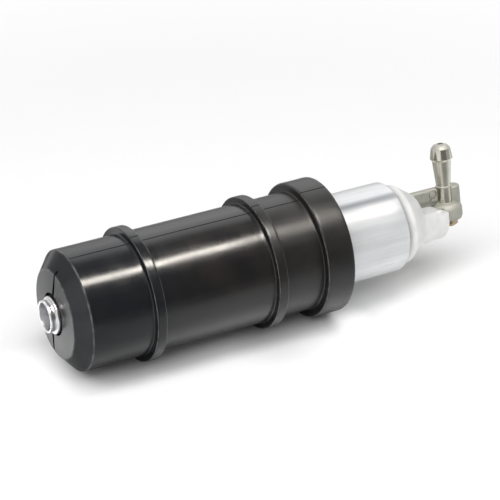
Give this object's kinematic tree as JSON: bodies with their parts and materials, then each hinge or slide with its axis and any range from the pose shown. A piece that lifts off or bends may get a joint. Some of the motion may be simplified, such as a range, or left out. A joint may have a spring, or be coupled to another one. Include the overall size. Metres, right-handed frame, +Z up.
{
  "type": "fuel pump",
  "caption": "Cylindrical in-line electric fuel pump in a ribbed rubber sleeve, with a metal can, white end cap and an elbow hose barb.",
  "frame": {"origin": "on the pump's axis, in the plane of the sleeve's front face, inside the inlet bore", "axes": "+X along the pump from inlet to outlet, +Z up with the pump lying on its flange, +Y completes the frame"},
  "size_m": [0.2172, 0.064, 0.0649],
  "materials": {
    "rubber": "satin moulded rubber",
    "can_aluminium": "drawn, bright",
    "cast_aluminium": "turned, bright",
    "sintered_steel": "sintered and ground",
    "bearing_bronze": "sintered bronze",
    "plain_steel": "ground",
    "magnet": "fired ferrite",
    "core_steel": "stacked sheet",
    "copper": "enamelled copper",
    "commutator_copper": "turned copper",
    "holder_plastic": "moulded",
    "carbon": "pressed carbon",
    "spring_steel": "drawn wire",
    "brass": "turned",
    "cap_plastic": "natural white, moulded",
    "seal_rubber": "moulded",
    "zinc_plated": "zinc plated, yellow-green passivated",
    "crush_copper": "annealed copper"
  },
  "bodies": {
    "pump_body": {"rubber_sleeve": "rubber", "pump_can": "can_aluminium", "inlet_cover": "cast_aluminium", "eccentric_ring": "sintered_steel", "port_plate": "cast_aluminium", "front_bush": "bearing_bronze", "stage_screws": "plain_steel", "relief_spring": "spring_steel", "relief_retainer": "brass", "flux_ring": "core_steel", "magnet_near": "magnet", "magnet_far": "magnet", "magnet_clips": "spring_steel", "brush_holder": "holder_plastic", "rear_bush": "bearing_bronze", "brush_spring_upper": "spring_steel", "brush_spring_lower": "spring_steel", "contact_strip_positive": "brass", "contact_strip_negative": "brass", "end_cap": "cap_plastic", "cap_seal": "seal_rubber", "terminal_stud_positive": "brass", "terminal_stud_negative": "brass", "terminal_nuts": "zinc_plated", "terminal_washers": "zinc_plated", "outlet_elbow": "zinc_plated", "side_plug": "zinc_plated", "spigot_seal": "seal_rubber", "valve_seat": "brass", "check_spring": "spring_steel", "screw_plug": "brass", "crush_washer": "crush_copper"},
    "armature": {"shaft": "plain_steel", "lamination_core": "core_steel", "windings": "copper", "commutator": "commutator_copper", "commutator_hub": "holder_plastic", "thrust_washers": "holder_plastic", "inner_rotor": "sintered_steel"},
    "outer_rotor_body": {"outer_rotor": "sintered_steel"},
    "upper_brush": {"brush_upper": "carbon"},
    "lower_brush": {"brush_lower": "carbon"},
    "check_valve": {"check_ball": "plain_steel"},
    "relief_valve": {"relief_ball": "plain_steel"}
  },
  "joints": [
    {"name": "armature_spin", "type": "hinge", "parent": "pump_body", "child": "armature", "pos_m": [0.08, 0, 0], "axis": [1, 0, 0], "continuous": true},
    {"name": "outer_rotor_spin", "type": "hinge", "parent": "pump_body", "child": "outer_rotor_body", "pos_m": [0.02, 0, -0.0012], "axis": [1, 0, 0], "continuous": true},
    {"name": "upper_brush_slide", "type": "slide", "parent": "pump_body", "child": "upper_brush", "axis": [0, 0, 1], "range_m": [0, 0.002], "stiffness_N_per_m": 150, "springref_m": -0.003, "deforming": ["brush_spring_upper"]},
    {"name": "lower_brush_slide", "type": "slide", "parent": "pump_body", "child": "lower_brush", "axis": [0, 0, -1], "range_m": [0, 0.002], "stiffness_N_per_m": 150, "springref_m": -0.003, "deforming": ["brush_spring_lower"]},
    {"name": "check_valve_slide", "type": "slide", "parent": "pump_body", "child": "check_valve", "axis": [0, 0.2334, 0.9724], "range_m": [0, 0.0015], "stiffness_N_per_m": 60, "springref_m": -0.002, "deforming": ["check_spring"]},
    {"name": "relief_valve_slide", "type": "slide", "parent": "pump_body", "child": "relief_valve", "axis": [1, 0, 0], "range_m": [0, 0.0008], "stiffness_N_per_m": 900, "springref_m": -0.003, "deforming": ["relief_spring"]}
  ],
  "couplings": [
    {"joint": "outer_rotor_spin", "follows": "armature_spin", "ratio": 0.85714}
  ]
}
